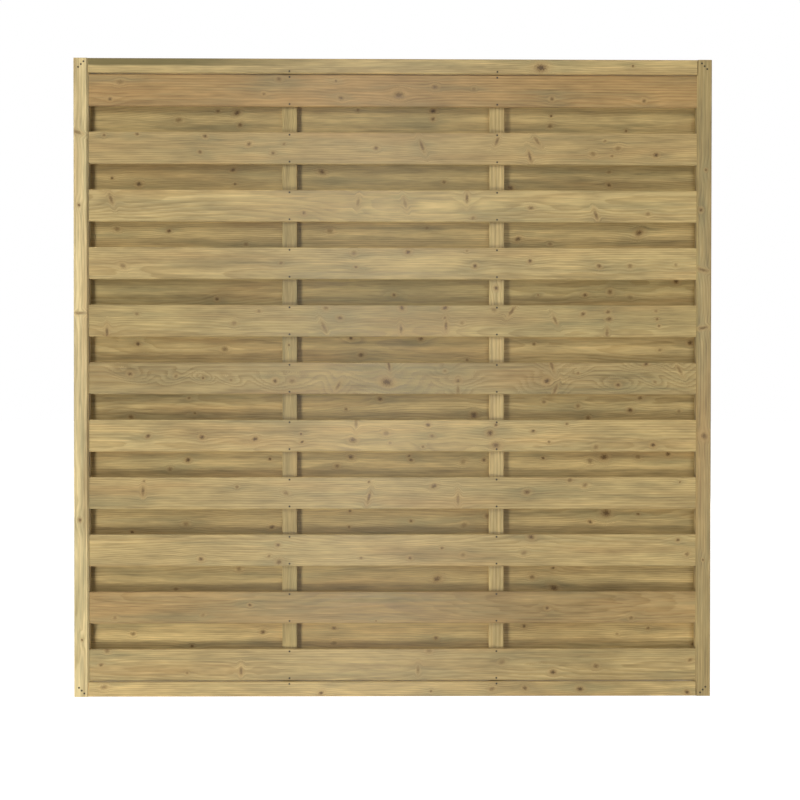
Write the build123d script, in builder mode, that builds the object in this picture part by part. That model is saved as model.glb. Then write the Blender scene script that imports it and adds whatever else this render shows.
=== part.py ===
from build123d import *

import os

# Framed fence panel: horizontal slats on both faces of two battens, the back ones behind the gaps.
# It stands on the XY plane, centred on the origin, with its front towards -Y. Millimetres.

# Whole panel
panel_width = 1800
panel_height = 1800

# Frame of two stiles and two rails
frame_face = 42  # width of a stile or rail, seen from the front
frame_lip = 6  # wood outside each layer of slats
frame_edge_radius = 4
chamfer_land = 1  # flat left on a stile's inner face between its chamfered edge and the slats
groove_depth = 10
mortise_wall = 7  # wood between a mortise and the stile's outer face
tenon_thickness = 14
tenon_shoulder = 6  # step above and below a tenon
pocket_depth = 12  # how deep a batten's end is let into a rail

# Slats and battens
front_slat_count = 11
slat_height = 90
slat_thickness = 8
slat_edge_chamfer = 1.5
rail_gap = 2  # between a rail and the front slat next to it
batten_count = 2
batten_width = 42
batten_thickness = 16
batten_edge_radius = 2

# Brads, each a square wire with a flat oblong head
brad_shank = 2
brad_head_length = 4
brad_head_thickness = 1
brad_tip_cover = 4  # wood left between a brad's tip and the far face of a batten
slat_brad_inset = 7  # from a slat's long edge
back_brad_stagger = 9  # sideways from the front brads, so that the two never meet
corner_brad_inset = 21.5  # middle brad of a corner, from the stile's outer face
corner_brad_rise = 18  # middle brad of a corner, from the stile's end
corner_brad_step_x = 7.5
corner_brad_step_z = 8
rail_brad_inset = 6  # from a rail's inner face

# Clearances
housing_gap = 0.15  # on each side of a slat, tenon or batten in its housing
end_gap = 1.5  # between the end of a slat, tenon or batten and the bottom of its housing
brad_gap = 0.1  # around a brad in its hole

# Sizes that follow from those above
slat_layer_outside = batten_thickness / 2 + slat_thickness
slat_layer_middle = batten_thickness / 2 + slat_thickness / 2
frame_depth = 2 * (slat_layer_outside + frame_lip)
stile_chamfer = frame_lip - chamfer_land
clear_width = panel_width - 2 * frame_face
clear_height = panel_height - 2 * frame_face

slat_length = clear_width + 2 * (groove_depth - end_gap)
slat_pitch = (clear_height - 2 * rail_gap - slat_height) / (front_slat_count - 1)
lowest_slat_z = frame_face + rail_gap + slat_height / 2
front_slat_z = [lowest_slat_z + i * slat_pitch for i in range(front_slat_count)]
back_slat_z = [z + slat_pitch / 2 for z in front_slat_z[:-1]]

batten_bay = (clear_width - batten_count * batten_width) / (batten_count + 1)
batten_pitch = batten_bay + batten_width
batten_x = [(i - (batten_count - 1) / 2) * batten_pitch for i in range(batten_count)]
batten_end_z = frame_face - pocket_depth + end_gap

mortise_depth = frame_face - mortise_wall
tenon_height = frame_face - 2 * tenon_shoulder
tenon_reach = clear_width / 2 + mortise_depth - end_gap
rail_middle_z = {"bottom": frame_face / 2, "top": panel_height - frame_face / 2}
brad_reach = batten_thickness / 2 - brad_tip_cover

# Upright planes through the middle of the panel, facing out of its front and out of its back
front_side = Plane(origin=(0, 0, 0), x_dir=(1, 0, 0), z_dir=(0, -1, 0))
back_side = Plane(origin=(0, 0, 0), x_dir=(-1, 0, 0), z_dir=(0, 1, 0))


def slat_brad_points(slat_z, row_x):
    """Two brads a slat, near its long edges, on an upright row at each x of row_x."""
    reach = slat_height / 2 - slat_brad_inset
    return [(x, z + rise) for z in slat_z for x in row_x for rise in (-reach, reach)]


def corner_brad_points(side):
    """Three brads on a slant at each end of the stile on one side, -1 for left and 1 for right."""
    points = []
    for step in (-1, 0, 1):
        x = side * (panel_width / 2 - corner_brad_inset + step * corner_brad_step_x)
        rise = corner_brad_rise + step * corner_brad_step_z
        points += [(x, rise), (x, panel_height - rise)]
    return points


def rail_brad_points(row_x):
    """One brad through each rail into the end of the batten at each x of row_x."""
    rise = frame_face - rail_brad_inset
    return [(x, z) for x in row_x for z in (rise, panel_height - rise)]


def back_rows(row_x):
    """Where the back brads of these battens stand, in the back plane's own x, which runs the other way."""
    return [-(x + back_brad_stagger) for x in row_x]


def drive_brads(side, depth, points, gap=0, mode=Mode.ADD):
    """Brads driven in from a face at this depth from the panel's middle, or with a gap, their holes."""
    face = side.offset(depth)
    with BuildSketch(face) as heads:
        with Locations(*points):
            Rectangle(brad_head_length + 2 * gap, brad_shank + 2 * gap)
    extrude(heads.sketch, amount=-brad_head_thickness, mode=mode)
    with BuildSketch(face) as shanks:
        with Locations(*points):
            Rectangle(brad_shank + 2 * gap, brad_shank + 2 * gap)
    extrude(shanks.sketch, amount=-(depth + brad_reach + gap), mode=mode)


def brad_holes(side, depth, points):
    """Holes for the brads at these points."""
    drive_brads(side, depth, points, gap=brad_gap, mode=Mode.SUBTRACT)


def make_stile(side):
    """Upright of the frame on one side, -1 for left and 1 for right, grooved and chamfered inside."""
    middle_x = side * (panel_width - frame_face) / 2
    inner_face = Plane(
        origin=(side * clear_width / 2, 0, panel_height / 2), x_dir=(0, 1, 0), z_dir=(-side, 0, 0)
    )
    with BuildPart() as stile:
        with BuildSketch(Plane.XY) as section:
            with Locations((middle_x, 0)):
                Rectangle(frame_face, frame_depth)
            fillet(section.vertices().sort_by(Axis.X, reverse=side > 0)[:2], frame_edge_radius)
            chamfer(section.vertices().sort_by(Axis.X, reverse=side > 0)[-2:], stile_chamfer)
        extrude(amount=panel_height)
        with BuildSketch(inner_face):
            with Locations((-slat_layer_middle, 0), (slat_layer_middle, 0)):
                Rectangle(slat_thickness + 2 * housing_gap, clear_height)
        extrude(amount=-groove_depth, mode=Mode.SUBTRACT)
        with BuildSketch(inner_face):
            with GridLocations(0, clear_height + frame_face, 1, 2):
                Rectangle(tenon_thickness + 2 * housing_gap, tenon_height + 2 * housing_gap)
        extrude(amount=-mortise_depth, mode=Mode.SUBTRACT)
        brad_holes(front_side, frame_depth / 2, corner_brad_points(side))
    return stile.part


def make_rail(place):
    """Top or bottom of the frame, with a tenon at each end and a pocket for each batten."""
    middle_z = rail_middle_z[place]
    inward = 1 if place == "bottom" else -1
    inner_face = Plane(
        origin=(0, 0, middle_z + inward * frame_face / 2), x_dir=(1, 0, 0), z_dir=(0, 0, inward)
    )
    with BuildPart() as rail:
        with BuildSketch(Plane.YZ.offset(-clear_width / 2)):
            with Locations((0, middle_z)):
                RectangleRounded(frame_depth, frame_face, frame_edge_radius)
        extrude(amount=clear_width)
        with BuildSketch(Plane.YZ.offset(-tenon_reach)):
            with Locations((0, middle_z)):
                Rectangle(tenon_thickness, tenon_height)
        extrude(amount=2 * tenon_reach)
        with BuildSketch(inner_face):
            with Locations(*[(x, 0) for x in batten_x]):
                Rectangle(batten_width + 2 * housing_gap, batten_thickness + 2 * housing_gap)
        extrude(amount=-pocket_depth, mode=Mode.SUBTRACT)
        brad_holes(front_side, frame_depth / 2, rail_brad_points(batten_x))
        for side in (-1, 1):
            brad_holes(front_side, frame_depth / 2, corner_brad_points(side))
    return rail.part


def make_batten(x):
    """Upright between the two layers of slats, centred on x, with its ends in the rails."""
    with BuildPart() as batten:
        with BuildSketch(Plane.XY.offset(batten_end_z)):
            with Locations((x, 0)):
                RectangleRounded(batten_width, batten_thickness, batten_edge_radius)
        extrude(amount=panel_height - 2 * batten_end_z)
        brad_holes(front_side, slat_layer_outside, slat_brad_points(front_slat_z, [x]))
        brad_holes(back_side, slat_layer_outside, slat_brad_points(back_slat_z, back_rows([x])))
        brad_holes(front_side, frame_depth / 2, rail_brad_points([x]))
    return batten.part


def make_slat(side, middle_z, row_x):
    """Board lying on one side's face of the battens, with a brad hole at each x of row_x."""
    with BuildPart() as slat:
        with BuildSketch(Plane.YZ.offset(-slat_length / 2)) as section:
            with Locations((side.z_dir.Y * slat_layer_middle, middle_z)):
                Rectangle(slat_thickness, slat_height)
            chamfer(section.vertices(), slat_edge_chamfer)
        extrude(amount=slat_length)
        brad_holes(side, slat_layer_outside, slat_brad_points([middle_z], row_x))
    return slat.part


def make_brads(side, depth, points):
    """Group of separate brads driven in from one face."""
    with BuildPart() as brads:
        drive_brads(side, depth, points)
    return brads.part


def save(piece, name):
    """Name a finished piece and write it."""
    piece.label = name
    export_step(piece, f"parts/{name}.step")


os.makedirs("parts", exist_ok=True)

save(make_stile(-1), "left_stile")
save(make_stile(1), "right_stile")
for place in rail_middle_z:
    save(make_rail(place), f"{place}_rail")
for number, x in enumerate(batten_x, start=1):
    save(make_batten(x), f"batten_{number}")
for number, z in enumerate(front_slat_z, start=1):
    save(make_slat(front_side, z, batten_x), f"front_slat_{number:02d}")
for number, z in enumerate(back_slat_z, start=1):
    save(make_slat(back_side, z, back_rows(batten_x)), f"back_slat_{number:02d}")

front_points = slat_brad_points(front_slat_z, batten_x)
back_points = slat_brad_points(back_slat_z, back_rows(batten_x))
corner_points = corner_brad_points(-1) + corner_brad_points(1)
save(make_brads(front_side, slat_layer_outside, front_points), "front_slat_brads")
save(make_brads(back_side, slat_layer_outside, back_points), "back_slat_brads")
save(make_brads(front_side, frame_depth / 2, corner_points), "corner_brads")
save(make_brads(front_side, frame_depth / 2, rail_brad_points(batten_x)), "rail_brads")
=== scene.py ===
import math
import random

import bmesh
import bpy
from mathutils import Euler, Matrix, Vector


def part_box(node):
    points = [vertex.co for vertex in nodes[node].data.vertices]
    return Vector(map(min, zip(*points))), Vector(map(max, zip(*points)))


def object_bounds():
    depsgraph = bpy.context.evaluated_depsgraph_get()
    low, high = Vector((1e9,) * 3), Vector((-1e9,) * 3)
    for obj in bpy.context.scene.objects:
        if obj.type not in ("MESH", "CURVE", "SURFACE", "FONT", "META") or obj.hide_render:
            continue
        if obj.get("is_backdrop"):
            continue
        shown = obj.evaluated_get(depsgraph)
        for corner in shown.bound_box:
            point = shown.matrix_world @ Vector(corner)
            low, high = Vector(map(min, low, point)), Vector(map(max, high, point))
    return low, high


# A framed fence panel of planed, pressure-treated softwood, dressed on its CAD frame.
# Metres, with the front towards -Y.

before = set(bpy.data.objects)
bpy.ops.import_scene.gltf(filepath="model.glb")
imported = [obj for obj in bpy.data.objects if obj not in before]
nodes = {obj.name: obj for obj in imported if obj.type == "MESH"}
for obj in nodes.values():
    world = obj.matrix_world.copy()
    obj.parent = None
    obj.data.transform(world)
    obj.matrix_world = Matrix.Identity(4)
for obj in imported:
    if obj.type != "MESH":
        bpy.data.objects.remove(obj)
cad_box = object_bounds()

NAIL_NODES = ["front_slat_brads", "back_slat_brads", "corner_brads", "rail_brads"]

# Camera, set so that the panel's corners and slat edges fall where the photograph has them
PHOTO_SIZE = 800
LENS_MM = 61.3
SENSOR_MM = 36.0
CAMERA_AT = Vector((-0.0248, -3.8676, 0.8775))
CAMERA_TURN = Euler([math.radians(a) for a in (89.4245, -0.0486, -0.6530)])

# Studio
PANEL_MIDDLE = (0.0, 0.0, 0.9)
AMBIENT = 0.03  # light from all round
FLOOR_REACH = 30.0
FLOOR_GREY = 0.35
FLOOR_WHITE_NEAR = 0.92  # how bright the floor looks close to the panel, and how much more further out
FLOOR_WHITE_GAIN = 0.10
FLOOR_WHITE_RISE = (1.2, 3.5)

# Colours, as linear red, green and blue
STRAW = (0.464, 0.345, 0.146)
RUSSET = (0.385, 0.222, 0.076)
OLIVE = (0.325, 0.265, 0.095)
PALE = (0.680, 0.545, 0.275)
MOSS = (0.225, 0.195, 0.090)
DARK_OLIVE = (0.150, 0.118, 0.036)
KNOT_BROWN = (0.176, 0.102, 0.036)
KNOT_DARK = (0.070, 0.040, 0.016)
KNOT_HALO = (0.297, 0.190, 0.071)
# Dark round each nail head: painted shade of its sunken hole, with stain of the wood
NAIL_SHADE_AND_STAIN = (0.034, 0.022, 0.012)
STEEL = (0.030, 0.022, 0.016)
WHITE = (1.0, 1.0, 1.0)
LATE_WOOD = (0.66, 0.60, 0.50)  # summer wood, as a share of the board's own colour

# Growth rings. The pith lies across from a board's middle and behind it, and drifts along the board.
PITH_ACROSS = (-0.10, 0.10)
PITH_DEEP = (0.02, 0.09)
PITH_DRIFT = (-0.006, 0.006)
SEED_RANGE = (0.0, 40.0)
RING_SPACING = (0.0032, 0.0062)
LATE_WOOD_RISE = (0.20, 0.88)  # shares of a ring
LATE_WOOD_FALL = (0.90, 1.0)
LATE_WOOD_SHARE = 0.52
SLOW_WAVE_SIZE = 0.050
QUICK_WAVE_SIZE = 0.0042

# The one board with a bold figure
BOLD_BOARD = "front_slat_06"
BOLD_SPACING = 0.0086
BOLD_LATE_WOOD = (0.56, 0.48, 0.37)
BOLD_KNOT_WHORLS = 2.8

# Noise in the wood: features a metre along, across and deep into a board, then detail and roughness
SLOW_WAVE = ((1.1, 7.0, 7.0), 1.0, 0.5)
QUICK_WAVE = ((8.0, 60.0, 60.0), 2.0, 0.5)
MOSS_NOISE = ((2.4, 30.0, 30.0), 3.0, 0.6)
WARM_NOISE = ((1.8, 18.0, 18.0), 2.0, 0.5)
RELIEF_NOISE = ((14.0, 700.0, 700.0), 2.0, 0.5)
LIGHT_NOISE = {
    "streak": ((2.2, 130.0, 130.0), 3.0, 0.6),
    "fleck": ((16.0, 270.0, 270.0), 2.0, 0.6),
    "fibre": ((14.0, 1000.0, 1000.0), 2.0, 0.6),
    "patch": ((4.0, 18.0, 18.0), 2.0, 0.5),
    "mottle": ((11.0, 60.0, 60.0), 2.0, 0.5),
}
LIGHT_SWING = {"streak": 0.52, "fleck": 0.72, "fibre": 0.40, "patch": 0.62, "mottle": 0.56}

# Green and russet stains of the treatment: where their noise is taken, its edge and their usual strength
MOSS_SHIFT = (7.3, 1.9, 4.1)
MOSS_EDGE = (0.46, 0.76)
MOSS_NEAR_KNOTS = 0.12
MOSS_SHARE = 0.55
BATTEN_1_MOSS = 0.70
BATTEN_2_MOSS = 0.30
WARM_SHIFT = (2.7, 5.3, 9.1)
WARM_EDGE = (0.48, 0.76)
WARM_SHARE = 0.40

# Dark strip on the top rail
BAND_NOISE = ((9.0, 1.0, 1.0), 2.0, 0.5)
BAND_WANDER = 0.006
BAND_EDGE = (-0.0015, 0.0030)  # heights from the rail's middle
BAND_END = (-0.75, -0.02)
BAND_SHARE = 0.90

# Surface of the planed wood
ROUGHNESS = 0.54
LATE_WOOD_ROUGHNESS = -0.08
FIBRE_ROUGHNESS = 0.16
RELIEF_STRENGTH = 0.35
RELIEF_DEPTH = 0.0004
ANISOTROPY = 0.8
GLOSS = 0.15
BACK_SLAT_GLOSS = 0.08

# Surface of the nails
STEEL_BLOTCHES = ((900.0, 900.0, 900.0), 3.0, 0.5)
STEEL_SHADES = (0.6, 1.5)
STEEL_ROUGHNESS = 0.35
STEEL_BLOTCH_ROUGHNESS = 0.3
STEEL_GLOSS = 0.1

# Knots
KNOT_RADIUS = 0.0056
KNOT_SPREAD = (0.58, 1.12)
KNOT_STRETCH = (1.0, 1.5)
KNOT_TURN = (-0.5, 0.5)
KNOT_STRENGTH = (0.42, 0.95)
SIZED_KNOT_STRENGTH = (0.75, 0.98)
KNOT_WHORLS = 0.8  # rings that bend round a knot
WHORL_STRETCH = 2.0  # how much longer than wide they are, along the board
KNOT_RAGGED_NOISE = ((230.0, 230.0, 230.0), 3.0, 0.6)
KNOT_RAGGED = 1.7
KNOT_PUSH = 0.75  # share of their distance by which fibres are pushed aside
KNOT_HALO_SHARE = 0.85
KNOT_RING_LIGHT = 0.24
KNOT_HEART_EDGE = (0.50, 1.0)
KNOT_HEART_SHARE = 0.60

# Where the parts of a knot rise and fall, in radii of the knot
KNOT_CORE_FALL = (0.25, 1.30)
KNOT_HALO_FALL = (0.40, 3.2)
KNOT_RING_RISE = (1.0, 1.5)
KNOT_RING_FALL = (1.6, 2.4)
KNOT_WHORL_FALL = (1.2, 6.5)
KNOT_PUSH_FALL = (0.6, 3.8)

# Spike knots, cut along the branch
SPIKE_WIDTH = 0.0042
SPIKE_LENGTH = 0.0130
SPIKE_SPREAD = (0.8, 1.2)
SPIKE_STRENGTH = (0.50, 0.80)

# Painted shade and stain round the nail heads
NAIL_SHADE_AND_STAIN_FALL = (0.00168, 0.00384)
NAIL_SHADE_AND_STAIN_SHARE = 0.90
NAIL_FACE_GAP = 1e-3  # the most between a board's face and the head of a nail in it
MERGE_DISTANCE = 1e-6

# Knots of each board, from the top of the panel down: where the photograph shows them, read off in its
# 800 by 800 frame. A third value is the size against a usual knot.
FRONT_KNOTS = [
    [(120, 82), (110, 99), (264, 94), (279, 79), (399, 95, 1.8), (435, 87), (341, 98), (336, 81), (474, 89),
     (552, 99), (644, 101)],
    [(205, 136), (200, 152), (249, 144), (273, 153), (284, 144), (104, 135), (137, 134), (376, 148),
     (605, 141), (593, 154), (612, 156), (618, 148), (656, 155)],
    [(473, 218), (304, 213), (648, 214), (531, 208)],
    [(281, 263), (123, 266), (354, 253), (356, 267), (408, 252), (475, 266, 1.2), (467, 251), (530, 261),
     (599, 266, 1.2), (630, 266), (676, 265)],
    [(234, 323), (259, 311), (137, 314), (326, 308), (340, 318), (402, 308), (445, 308), (445, 318),
     (462, 323), (494, 310), (583, 314), (608, 312), (609, 319), (656, 311), (657, 319), (659, 326)],
    [(130, 374), (176, 376), (203, 378), (231, 380), (275, 381), (387, 382, 1.9), (458, 381, 1.6), (445, 371),
     (292, 381), (547, 381, 1.7), (578, 373), (618, 385), (655, 382), (646, 364)],
    [(148, 436, 1.4), (255, 439, 1.3), (202, 437), (353, 440, 1.3), (428, 425), (423, 447), (390, 443),
     (386, 433), (432, 436), (496, 425), (490, 433, 1.3), (496, 445, 1.5), (301, 434, 0.6), (302, 442, 0.6),
     (567, 424), (533, 431), (549, 442), (596, 447), (653, 445, 1.5)],
    [(144, 481), (237, 487), (286, 493), (369, 482), (434, 486), (527, 492), (585, 485), (570, 480),
     (680, 482, 0.6)],
    [(278, 545), (269, 556), (279, 562), (201, 559), (410, 558), (463, 555), (442, 548), (361, 558),
     (524, 553), (678, 540), (687, 554), (531, 537)],
    [(203, 615), (250, 605), (115, 618), (376, 621, 0.6), (631, 618), (547, 608)],
    [(101, 665), (107, 651), (187, 673), (429, 651), (502, 662), (690, 660), (596, 666), (553, 672)],
]
BACK_KNOTS = [
    [(237, 113), (240, 125), (179, 120), (218, 111), (358, 110), (433, 111), (433, 119), (551, 116),
     (550, 126), (626, 131)],
    [(112, 178), (233, 170), (235, 184), (139, 184), (322, 172), (444, 182), (609, 172), (609, 185),
     (511, 188)],
    [(169, 231), (117, 229), (246, 244), (330, 231), (427, 228), (518, 239), (639, 233, 1.7), (550, 244)],
    [(217, 299), (394, 295), (610, 292, 1.3), (585, 295), (630, 297), (676, 281, 1.6), (538, 295, 0.6)],
    [(225, 349), (138, 344), (351, 338), (421, 339, 1.7), (361, 355), (467, 360), (534, 344), (660, 350),
     (690, 343, 1.2)],
    [(195, 413), (131, 417), (189, 398), (380, 399, 1.4), (346, 409), (474, 415, 1.5), (640, 398), (544, 402),
     (578, 406), (630, 410), (679, 411), (588, 418)],
    [(188, 460), (170, 469), (270, 459), (409, 456), (411, 460), (337, 466), (351, 457), (463, 462),
     (484, 460, 1.2), (604, 457, 1.6), (590, 461), (543, 458), (638, 457), (668, 454, 1.3)],
    [(186, 524), (272, 527), (132, 532), (411, 521), (464, 525), (350, 511), (349, 527), (487, 516),
     (606, 513, 1.7), (590, 522), (638, 514)],
    [(239, 569), (176, 589), (437, 579, 1.6), (554, 588, 1.6), (553, 568), (532, 577)],
    [(133, 634), (263, 632), (192, 646), (436, 638), (334, 628), (334, 643), (617, 634), (648, 628),
     (524, 626), (693, 644)],
]

# Spike knots of each front board: the place, as above, and how far they lean from upright, in degrees
FRONT_SPIKES = [
    [],
    [(422, 146, 20), (497, 141, -20), (537, 141, 35), (530, 157, 15)],
    [(111, 199, 20), (358, 202, -10), (405, 203, 15), (467, 198, 0), (596, 215, 20)],
    [],
    [(107, 332, 0), (324, 327, 25), (401, 329, 5), (446, 326, 0), (512, 311, -35), (555, 320, 25),
     (607, 333, 0)],
    [(338, 386, -30), (389, 366, 10), (552, 366, 20), (555, 390, -20), (680, 371, 30), (458, 390, 0)],
    [(356, 423, 0)],
    [(143, 491, 0), (369, 497, -15), (458, 499, 0)],
    [],
    [],
    [(241, 671, 0), (418, 670, 0)],
]

# Knots and spike knots of the frame and the battens
FRAME_KNOTS = {
    "top_rail": [(541, 68, 2.0), (633, 66, 0.6)],
    "bottom_rail": [(104, 687), (321, 693), (492, 689), (431, 691), (580, 689), (525, 688), (687, 692)],
    "left_stile": [(79, 205, 0.6), (80, 520, 0.8), (82, 640, 0.6)],
    "right_stile": [(701, 210, 0.8), (706, 170, 0.6), (704, 436, 1.6), (703, 560, 0.7)],
    "batten_1": [(289, 345, 0.7)],
    "batten_2": [(496, 288, 1.0)],
}
FRAME_SPIKES = {
    "left_stile": [(80, 313, 0), (77, 132, 20)],
    "right_stile": [(703, 270, 15), (703, 328, -10)],
}

# Tone of each board, the slats from the top down: warmth from -1, olive, to 1, russet, and how light it is
FRONT_TONES = [
    (0.70, 0.97), (0.18, 0.99), (-0.02, 1.11), (0.00, 1.06), (-0.15, 0.96), (0.02, 0.84), (0.05, 1.11),
    (0.00, 0.97), (0.02, 1.01), (0.42, 0.85), (0.05, 0.97),
]
BACK_TONES = [
    (0.00, 1.16), (-0.10, 1.02), (0.04, 1.15), (-0.20, 0.96), (0.06, 1.12), (0.04, 1.04), (0.05, 1.18),
    (0.10, 1.05), (0.06, 1.01), (0.04, 1.22),
]
FRAME_TONES = {
    "top_rail": (0.00, 1.12),
    "bottom_rail": (0.08, 1.12),
    "left_stile": (0.00, 1.02),
    "right_stile": (0.02, 0.78),
    "batten_1": (-0.15, 0.89),
    "batten_2": (0.00, 1.09),
}


class Graph:
    """Short calls that build one node tree."""

    def __init__(self, tree):
        self.tree = tree
        tree.nodes.clear()

    def add(self, kind, inputs, **settings):
        """A node with these settings, its inputs fed by name or number with a socket or a value."""
        node = self.tree.nodes.new(kind)
        for name, value in settings.items():
            setattr(node, name, value)
        for key, value in inputs.items():
            if isinstance(value, bpy.types.NodeSocket):
                self.tree.links.new(value, node.inputs[key])
            else:
                node.inputs[key].default_value = value
        return node

    def math(self, operation, *values):
        """Arithmetic on numbers."""
        return self.add("ShaderNodeMath", dict(enumerate(values)), operation=operation).outputs[0]

    def chain(self, operation, values):
        """The same arithmetic on several numbers, one after the other."""
        result = values[0]
        for value in values[1:]:
            result = self.math(operation, result, value)
        return result

    def total(self, *values):
        """Sum of several numbers."""
        return self.chain("ADD", values)

    def product(self, *values):
        """Product of several numbers."""
        return self.chain("MULTIPLY", values)

    def length(self, first, second):
        """Length of a vector of two numbers."""
        return self.math("SQRT", self.total(self.product(first, first), self.product(second, second)))

    def vector(self, operation, *values):
        """Arithmetic on vectors."""
        return self.add("ShaderNodeVectorMath", dict(enumerate(values)), operation=operation).outputs[0]

    def combine(self, x, y, z):
        """Vector of three numbers."""
        return self.add("ShaderNodeCombineXYZ", {0: x, 1: y, 2: z}).outputs[0]

    def separate(self, vector):
        """The three numbers of a vector."""
        return self.add("ShaderNodeSeparateXYZ", {0: vector}).outputs

    def rise(self, value, low, high):
        """Smooth step from 0 at low to 1 at high."""
        inputs = {"Value": value, "From Min": low, "From Max": high}
        return self.add("ShaderNodeMapRange", inputs, interpolation_type="SMOOTHSTEP").outputs[0]

    def fall(self, value, low, high):
        """Smooth step from 1 at low to 0 at high."""
        return self.math("SUBTRACT", 1.0, self.rise(value, low, high))

    def noise(self, point, features, detail, roughness):
        """Noise about 0.5, with this many features a metre along each axis."""
        place = self.vector("MULTIPLY", point, features)
        inputs = {"Vector": place, "Scale": 1.0, "Detail": detail, "Roughness": roughness}
        return self.add("ShaderNodeTexNoise", inputs).outputs[0]

    def swing(self, value, size):
        """Noise turned about 0 and given a size."""
        return self.product(self.math("SUBTRACT", value, 0.5), size)

    def dot(self, first, second):
        """Dot product."""
        inputs = {0: first, 1: second}
        return self.add("ShaderNodeVectorMath", inputs, operation="DOT_PRODUCT").outputs["Value"]

    def distance(self, first, second):
        """Distance between two places."""
        inputs = {0: first, 1: second}
        return self.add("ShaderNodeVectorMath", inputs, operation="DISTANCE").outputs["Value"]

    def place(self):
        """Where on its object a point lies."""
        return self.add("ShaderNodeTexCoord", {}).outputs["Object"]

    def mix(self, factor, first, second, blend="MIX"):
        """Blend of two colours."""
        inputs = {0: factor, 6: first, 7: second}
        return self.add("ShaderNodeMix", inputs, data_type="RGBA", blend_type=blend).outputs[2]

    def group(self, tree, inputs):
        """A node group with its inputs fed."""
        return self.add("ShaderNodeGroup", inputs, node_tree=tree).outputs

    def surface(self, shader):
        """Ends a material with its shader."""
        self.add("ShaderNodeOutputMaterial", {"Surface": shader.outputs[0]})


def new_group(name, inputs, outputs):
    """An empty node group with these sockets: its graph, its input sockets and its output node."""
    tree = bpy.data.node_groups.new(name, "ShaderNodeTree")
    graph = Graph(tree)
    for label, kind in inputs:
        tree.interface.new_socket(label, in_out="INPUT", socket_type=f"NodeSocket{kind}")
    for label, kind in outputs:
        tree.interface.new_socket(label, in_out="OUTPUT", socket_type=f"NodeSocket{kind}")
    return graph, graph.add("NodeGroupInput", {}).outputs, graph.add("NodeGroupOutput", {})


def new_material(name):
    """A new material and its empty graph."""
    material = bpy.data.materials.new(name)
    material.use_nodes = True
    return material, Graph(material.node_tree)


def rgba(colour):
    """Colour with full alpha."""
    return (*colour, 1.0)


def scaled(colour, factors):
    """Colour made lighter or darker, by one factor for each of its parts."""
    return tuple(c * f for c, f in zip(colour, factors))


def shaded(colour, factor):
    """Colour made lighter or darker by one factor."""
    return scaled(colour, (factor,) * 3)


def between(first, second, share):
    """Colour part of the way from one to another."""
    return tuple(a + (b - a) * share for a, b in zip(first, second))


def make_knot_group():
    """One knot, joined to those before it.

    It gives the knot's core, the stain and the pale ring round it, how near it is for the growth rings,
    and its push on the fibres. The two rows turn a place round the middle into shares of the radii.
    """
    graph, given, result = new_group(
        "knot",
        [("Point", "Vector"), ("Ragged", "Float"), ("Middle", "Vector"), ("Row along", "Vector"),
         ("Row across", "Vector"), ("Strength", "Float"), ("Core", "Float"), ("Halo", "Float"),
         ("Ring", "Float"), ("Near", "Float"), ("Push", "Float")],
        [("Core", "Float"), ("Halo", "Float"), ("Ring", "Float"), ("Near", "Float"), ("Push", "Float")],
    )
    off = graph.vector("SUBTRACT", given["Point"], given["Middle"])
    along = graph.dot(off, given["Row along"])
    across = graph.dot(off, given["Row across"])
    away = graph.total(graph.length(along, across), given["Ragged"])
    whorl = graph.length(graph.math("DIVIDE", along, WHORL_STRETCH), across)
    fades = {
        "Core": graph.fall(away, *KNOT_CORE_FALL),
        "Halo": graph.fall(away, *KNOT_HALO_FALL),
        "Ring": graph.product(graph.rise(away, *KNOT_RING_RISE), graph.fall(away, *KNOT_RING_FALL)),
        "Near": graph.fall(graph.total(whorl, given["Ragged"]), *KNOT_WHORL_FALL),
    }
    for name, fade in fades.items():
        joined = graph.math("MAXIMUM", graph.product(fade, given["Strength"]), given[name])
        graph.tree.links.new(joined, result.inputs[name])
    _, beside, _ = graph.separate(off)
    bend = graph.product(beside, graph.fall(away, *KNOT_PUSH_FALL), KNOT_PUSH)
    graph.tree.links.new(graph.total(bend, given["Push"]), result.inputs["Push"])
    return graph.tree


def late_wood(graph, given, along, across, deep, grain):
    """Dark part of the growth rings round the pith: 1 in the summer wood and 0 in the spring wood."""
    slow = graph.noise(grain, *SLOW_WAVE)
    quick = graph.noise(grain, *QUICK_WAVE)
    wave = graph.total(graph.swing(slow, SLOW_WAVE_SIZE), graph.swing(quick, QUICK_WAVE_SIZE))
    pith_across, pith_deep, drift = graph.separate(given["Pith"])
    beside = graph.total(across, wave, graph.product(along, drift))
    beside = graph.math("SUBTRACT", beside, pith_across)
    below = graph.math("SUBTRACT", graph.total(deep, wave), pith_deep)
    rings = graph.math("DIVIDE", graph.length(beside, below), given["Spacing"])
    ring = graph.math("FRACT", graph.total(rings, graph.product(given["Near"], given["Whorls"])))
    return graph.product(graph.rise(ring, *LATE_WOOD_RISE), graph.fall(ring, *LATE_WOOD_FALL))


def stained(graph, given, grain, colour):
    """Colour of the wood with the green and russet stains of its treatment."""
    mossy = graph.noise(graph.vector("ADD", grain, MOSS_SHIFT), *MOSS_NOISE)
    mossy = graph.total(mossy, graph.product(given["Near"], MOSS_NEAR_KNOTS))
    warmer = graph.noise(graph.vector("ADD", grain, WARM_SHIFT), *WARM_NOISE)
    colour = graph.mix(graph.product(graph.rise(mossy, *MOSS_EDGE), given["Moss"]), colour, rgba(MOSS))
    return graph.mix(graph.product(graph.rise(warmer, *WARM_EDGE), given["Warm"]), colour, rgba(RUSSET))


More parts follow.
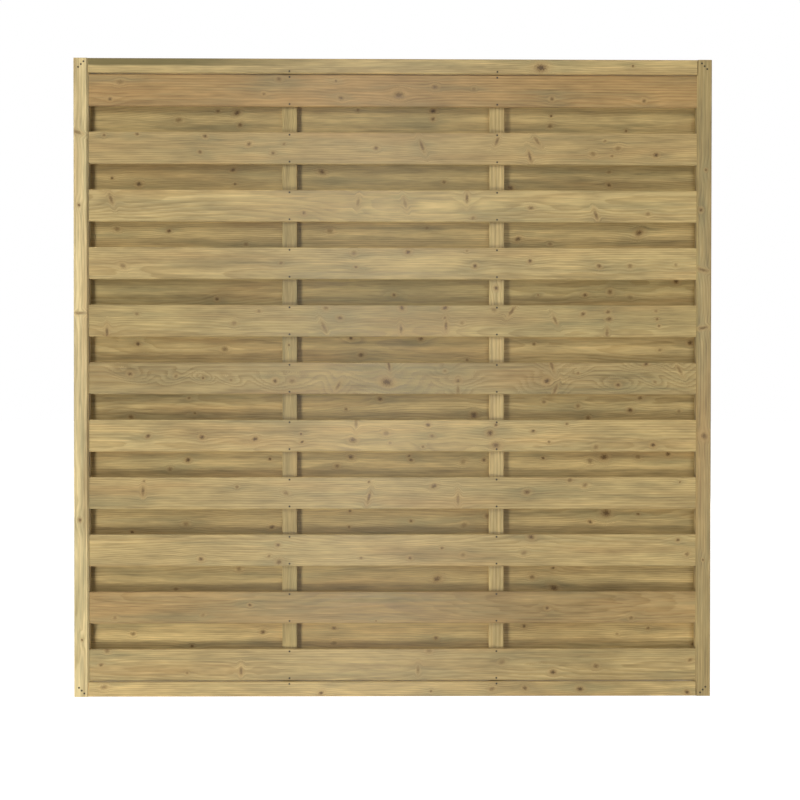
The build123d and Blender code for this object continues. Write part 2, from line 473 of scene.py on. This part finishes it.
def marked(graph, given, colour):
    """Colour of the wood with its dark strip, its knots and the painted shade and stain round its nails."""
    colour = graph.mix(given["Band"], colour, rgba(DARK_OLIVE))
    colour = graph.mix(graph.product(given["Halo"], KNOT_HALO_SHARE), colour, rgba(KNOT_HALO))
    colour = graph.mix(given["Core"], colour, rgba(KNOT_BROWN))
    heart = graph.product(graph.rise(given["Core"], *KNOT_HEART_EDGE), KNOT_HEART_SHARE)
    colour = graph.mix(heart, colour, rgba(KNOT_DARK))
    # Painted shade and stain round the nails
    return graph.mix(graph.product(given["Nail"], NAIL_SHADE_AND_STAIN_SHARE), colour, rgba(NAIL_SHADE_AND_STAIN))


def make_figure_group():
    """Planed softwood in the solid: growth rings round a pith beside the board, fibres, stains and knots."""
    graph, given, result = new_group(
        "softwood",
        [("Point", "Vector"), ("Seed", "Vector"), ("Pith", "Vector"), ("Spacing", "Float"), ("Core", "Float"),
         ("Halo", "Float"), ("Ring", "Float"), ("Near", "Float"), ("Push", "Float"), ("Nail", "Float"),
         ("Band", "Float"), ("Whorls", "Float"), ("Base", "Color"), ("Late", "Color"), ("Moss", "Float"),
         ("Warm", "Float")],
        [("Colour", "Color"), ("Roughness", "Float")],
    )
    along, across, deep = graph.separate(given["Point"])
    across = graph.math("SUBTRACT", across, given["Push"])
    grain = graph.vector("ADD", graph.combine(along, across, deep), given["Seed"])
    late = late_wood(graph, given, along, across, deep, grain)
    colour = graph.mix(graph.product(late, LATE_WOOD_SHARE), given["Base"], given["Late"])
    colour = stained(graph, given, grain, colour)

    noises = {name: graph.noise(grain, *shape) for name, shape in LIGHT_NOISE.items()}
    swings = [graph.swing(noises[name], size) for name, size in LIGHT_SWING.items()]
    light = graph.total(1.0, *swings, graph.product(given["Ring"], KNOT_RING_LIGHT))
    colour = marked(graph, given, graph.mix(1.0, colour, light, blend="MULTIPLY"))

    smoother = graph.product(late, LATE_WOOD_ROUGHNESS)
    roughness = graph.total(ROUGHNESS, smoother, graph.swing(noises["fibre"], FIBRE_ROUGHNESS))
    graph.tree.links.new(colour, result.inputs["Colour"])
    graph.tree.links.new(roughness, result.inputs["Roughness"])
    return graph.tree


def nail_heads(node):
    """Middle of the head of each nail of a CAD node of nails, on the face that it was driven into."""
    mesh = bmesh.new()
    mesh.from_mesh(nodes[node].data)
    bmesh.ops.remove_doubles(mesh, verts=mesh.verts, dist=MERGE_DISTANCE)
    left = set(mesh.verts)
    heads = []
    while left:
        found = []
        waiting = [left.pop()]
        while waiting:
            vertex = waiting.pop()
            found.append(vertex.co.copy())
            near = {edge.other_vert(vertex) for edge in vertex.link_edges} & left
            left -= near
            waiting.extend(near)
        low = Vector(map(min, zip(*found)))
        high = Vector(map(max, zip(*found)))
        head = (low + high) / 2
        head.y = low.y if head.y < 0 else high.y
        heads.append(head)
    mesh.free()
    return heads


def on_plane(pixel, depth):
    """The point at this depth that the photograph shows at a pixel."""
    half = SENSOR_MM / 2 / LENS_MM
    ray = Vector(((2 * pixel[0] / PHOTO_SIZE - 1) * half, (1 - 2 * pixel[1] / PHOTO_SIZE) * half, -1.0))
    ray.rotate(CAMERA_TURN)
    return CAMERA_AT + ray * ((depth - CAMERA_AT.y) / ray.y)


def board_axes(place, middle, upright):
    """Along, across and deep of a place, from the middle of a board."""
    off = place - middle
    return (off.z, off.x, off.y) if upright else (off.x, off.z, off.y)


def knot_marks(knots, spikes, chance):
    """Pixel, radii along and across the board, turn and strength of each knot."""
    for pixel_x, pixel_y, *size in knots:
        radius = KNOT_RADIUS * (size[0] if size else 1.0) * chance.uniform(*KNOT_SPREAD)
        stretch = chance.uniform(*KNOT_STRETCH)
        turn = chance.uniform(*KNOT_TURN)
        strength = chance.uniform(*(SIZED_KNOT_STRENGTH if size else KNOT_STRENGTH))
        yield (pixel_x, pixel_y), (radius * stretch, radius), turn, strength
    for pixel_x, pixel_y, lean in spikes:
        length = SPIKE_LENGTH * chance.uniform(*SPIKE_SPREAD)
        strength = chance.uniform(*SPIKE_STRENGTH)
        yield (pixel_x, pixel_y), (SPIKE_WIDTH, length), math.radians(lean), strength


def join_knots(graph, point, marks, middle, face, upright):
    """All the knots of a board: sockets named Core, Halo, Ring, Near and Push."""
    made = {"Core": 0.0, "Halo": 0.0, "Ring": 0.0, "Near": 0.0, "Push": 0.0}
    ragged = graph.swing(graph.noise(point, *KNOT_RAGGED_NOISE), KNOT_RAGGED)
    for pixel, (long_radius, short_radius), turn, strength in marks:
        along, across, _ = board_axes(on_plane(pixel, face), middle, upright)
        cosine = math.cos(turn)
        sine = math.sin(turn)
        knot = graph.group(knot_group, {
            "Point": point, "Ragged": ragged, "Middle": (along, across, 0.0), "Strength": strength,
            "Row along": (cosine / long_radius, sine / long_radius, 0.0),
            "Row across": (-sine / short_radius, cosine / short_radius, 0.0), **made,
        })
        made = {name: knot[name] for name in made}
    return made


def nail_spots(graph, point, low, high, upright):
    """Painted shade and stain round the nails whose heads lie on a board's faces: 1 at a nail and 0 away from
    it.
    """
    spots = 0.0
    for head in all_heads:
        within = low.x < head.x < high.x and low.z < head.z < high.z
        if within and min(abs(head.y - low.y), abs(head.y - high.y)) < NAIL_FACE_GAP:
            away = graph.distance(point, board_axes(head, (low + high) / 2, upright))
            spots = graph.math("MAXIMUM", graph.fall(away, *NAIL_SHADE_AND_STAIN_FALL), spots)
    return spots


def olive_band(graph, x, z):
    """Dark treated strip on the upper half of the top rail, strong at the left and gone past the middle."""
    wander = graph.swing(graph.noise(graph.combine(x, 0.0, 0.0), *BAND_NOISE), BAND_WANDER)
    upper = graph.rise(graph.total(z, wander), *BAND_EDGE)
    return graph.product(upper, graph.fall(x, *BAND_END), BAND_SHARE)


def growth_rings(node, chance):
    """Where a board's pith lies, how far apart its rings are and how far they bend round a knot."""
    pith = [chance.uniform(*reach) for reach in (PITH_ACROSS, PITH_DEEP, PITH_DRIFT)]
    spacing = chance.uniform(*RING_SPACING)
    if node == BOLD_BOARD:
        return {"Pith": pith, "Spacing": BOLD_SPACING, "Whorls": BOLD_KNOT_WHORLS}
    return {"Pith": pith, "Spacing": spacing, "Whorls": KNOT_WHORLS}


def board_colours(node, tone, base):
    """A board's own colour, from its tone, and that of its summer wood."""
    warmth, value = tone
    shade = shaded(between(base, RUSSET if warmth > 0 else OLIVE, abs(warmth)), value)
    late = scaled(shade, BOLD_LATE_WOOD if node == BOLD_BOARD else LATE_WOOD)
    return {"Base": rgba(shade), "Late": rgba(late)}


def planed(graph, point, wood, upright, gloss):
    """Shader of a planed face, with its fibres in faint relief and its sheen drawn out over them."""
    relief = graph.add("ShaderNodeBump", {
        "Strength": RELIEF_STRENGTH, "Distance": RELIEF_DEPTH, "Height": graph.noise(point, *RELIEF_NOISE),
    })
    over_fibres = graph.combine(1.0, 0.0, 0.0) if upright else graph.combine(0.0, 0.0, 1.0)
    return graph.add("ShaderNodeBsdfPrincipled", {
        "Base Color": wood["Colour"], "Roughness": wood["Roughness"], "Normal": relief.outputs[0],
        "Specular IOR Level": gloss, "Anisotropic": ANISOTROPY, "Tangent": over_fibres,
    })


def dress(node, material):
    """Gives a CAD node one material."""
    slots = nodes[node].data.materials
    slots.clear()
    slots.append(material)


def timber(
    node, tone, upright=False, knots=(), spikes=(), base=STRAW, moss=MOSS_SHARE, gloss=GLOSS, band=None
):
    """Gives a CAD board its own piece of wood. Knots and spikes are pixels on the board's front face."""
    low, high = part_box(node)
    middle = (low + high) / 2
    chance = random.Random(node)
    rings = growth_rings(node, chance)
    marks = list(knot_marks(knots, spikes, chance))
    seed = [chance.uniform(*SEED_RANGE) for _ in range(3)]

    material, graph = new_material(f"{node}_wood")
    x, y, z = graph.separate(graph.vector("SUBTRACT", graph.place(), middle))
    point = graph.combine(z, x, y) if upright else graph.combine(x, z, y)
    wood = graph.group(figure_group, {
        "Point": point, "Seed": seed, "Nail": nail_spots(graph, point, low, high, upright),
        "Band": band(graph, x, z) if band else 0.0, "Moss": moss, "Warm": WARM_SHARE,
        **rings, **board_colours(node, tone, base),
        **join_knots(graph, point, marks, middle, low.y, upright),
    })
    graph.surface(planed(graph, point, wood, upright, gloss))
    dress(node, material)


def frame_timber(node, **choices):
    """Gives a piece of the frame or a batten its wood."""
    timber(node, FRAME_TONES[node], knots=FRAME_KNOTS[node], spikes=FRAME_SPIKES.get(node, ()), **choices)


def slats(layer):
    """Names of the slats of the front or the back layer, from the top of the panel down."""
    found = [node for node in nodes if node.startswith(f"{layer}_slat_") and node not in NAIL_NODES]
    return sorted(found, reverse=True)


def steel(node):
    """Dull, darkened wire of the nails."""
    material, graph = new_material(f"{node}_steel")
    blotch = graph.noise(graph.place(), *STEEL_BLOTCHES)
    dark, light = (rgba(shaded(STEEL, factor)) for factor in STEEL_SHADES)
    colour = graph.mix(blotch, dark, light)
    roughness = graph.total(graph.product(blotch, STEEL_BLOTCH_ROUGHNESS), STEEL_ROUGHNESS)
    graph.surface(graph.add("ShaderNodeBsdfPrincipled", {
        "Base Color": colour, "Roughness": roughness, "Specular IOR Level": STEEL_GLOSS,
    }))
    dress(node, material)


def add_object(name, data):
    """A new object of the scene."""
    made = bpy.data.objects.new(name, data)
    bpy.context.scene.collection.objects.link(made)
    return made


def make_camera():
    """The photograph's camera."""
    data = bpy.data.cameras.new("camera")
    data.lens = LENS_MM
    data.sensor_width = SENSOR_MM
    camera = add_object("camera", data)
    camera.location = CAMERA_AT
    camera.rotation_euler = CAMERA_TURN
    bpy.context.scene.camera = camera


def seen_directly(graph):
    """1 for what the camera sees, straight or in metal or glass, and 0 for light on its way."""
    path = graph.add("ShaderNodeLightPath", {}).outputs
    seen = graph.math("MAXIMUM", path["Is Camera Ray"], path["Is Glossy Ray"])
    return graph.math("MAXIMUM", seen, path["Is Transmission Ray"])


def floor_white():
    """White that keeps the panel's soft shadow and throws little light back."""
    material, graph = new_material("floor_white")
    diffuse = graph.add("ShaderNodeBsdfDiffuse", {"Color": rgba((FLOOR_GREY,) * 3)})
    away = graph.distance(graph.place(), (0.0, 0.0, 0.0))
    gain = graph.product(graph.rise(away, *FLOOR_WHITE_RISE), FLOOR_WHITE_GAIN)
    strength = graph.product(seen_directly(graph), graph.total(gain, FLOOR_WHITE_NEAR))
    glow = graph.add("ShaderNodeEmission", {"Color": rgba(WHITE), "Strength": strength})
    graph.surface(graph.add("ShaderNodeAddShader", {0: diffuse.outputs[0], 1: glow.outputs[0]}))
    return material


def make_floor():
    """White floor, which the lamps below it shine through."""
    mesh = bpy.data.meshes.new("floor")
    corners = [(FLOOR_REACH * x, FLOOR_REACH * y, 0.0) for x, y in ((-1, -1), (1, -1), (1, 1), (-1, 1))]
    mesh.from_pydata(corners, [], [(0, 1, 2, 3)])
    floor = add_object("floor", mesh)
    floor.visible_shadow = False
    floor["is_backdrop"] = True
    mesh.materials.append(floor_white())


def make_world():
    """Even light all round, and plain white where the camera sees past the panel."""
    world = bpy.data.worlds.new("studio")
    bpy.context.scene.world = world
    world.use_nodes = True
    graph = Graph(world.node_tree)
    strength = graph.total(graph.product(seen_directly(graph), 1.0 - AMBIENT), AMBIENT)
    background = graph.add("ShaderNodeBackground", {"Color": rgba(WHITE), "Strength": strength})
    graph.add("ShaderNodeOutputWorld", {"Surface": background.outputs[0]})


def softbox(name, place, size, power, target=PANEL_MIDDLE, spread=180.0, diffuse=True):
    """Large rectangular lamp that the camera doesn't see. Without diffuse it only shows as a sheen."""
    data = bpy.data.lights.new(name, "AREA")
    data.shape = "RECTANGLE"
    data.size, data.size_y = size
    data.energy = power
    data.spread = math.radians(spread)
    lamp = add_object(name, data)
    lamp.visible_camera = False
    lamp.visible_diffuse = diffuse
    lamp.location = place
    lamp.rotation_euler = (Vector(target) - Vector(place)).to_track_quat("-Z", "Y").to_euler()


def make_lamps():
    """Lamps on both sides of the front, from above and from below, and two for the back."""
    past_right = (3.0, 0.0, 0.9)
    softbox("left_high", place=(-1.9, -1.9, 3.5), size=(0.8, 2.4), power=83.0)
    softbox("left_low", place=(-1.9, -1.9, -1.4), size=(0.8, 1.2), power=86.0)
    softbox("right_high", place=(2.2, -3.2, 4.5), size=(2.0, 3.0), power=47.0, target=past_right, spread=90.0)
    softbox("right_low", place=(2.2, -3.2, -2.7), size=(2.0, 1.2), power=54.0, target=past_right, spread=90.0)
    softbox("sheen", place=(-0.15, -5.0, 0.9), size=(0.6, 3.0), power=400.0, diffuse=False)
    for name, x in (("back_left", -4.0), ("back_right", 4.0)):
        softbox(name, place=(x, 6.0, 1.6), size=(2.0, 3.0), power=225.0)


make_camera()
make_floor()
make_world()
make_lamps()

knot_group = make_knot_group()
figure_group = make_figure_group()
all_heads = [head for node in NAIL_NODES for head in nail_heads(node)]

for node, tone, knots, spikes in zip(slats("front"), FRONT_TONES, FRONT_KNOTS, FRONT_SPIKES):
    timber(node, tone, knots=knots, spikes=spikes)
for node, tone, knots in zip(slats("back"), BACK_TONES, BACK_KNOTS):
    timber(node, tone, knots=knots, gloss=BACK_SLAT_GLOSS)
frame_timber("top_rail", band=olive_band)
frame_timber("bottom_rail")
frame_timber("left_stile", upright=True, base=PALE)
frame_timber("right_stile", upright=True)
frame_timber("batten_1", upright=True, moss=BATTEN_1_MOSS)
frame_timber("batten_2", upright=True, moss=BATTEN_2_MOSS)
for node in NAIL_NODES:
    steel(node)

bpy.context.scene.view_settings.view_transform = "Standard"

boxes = {"cad": cad_box, "visual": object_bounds()}
{name: [list(corner) for corner in box] for name, box in boxes.items()}
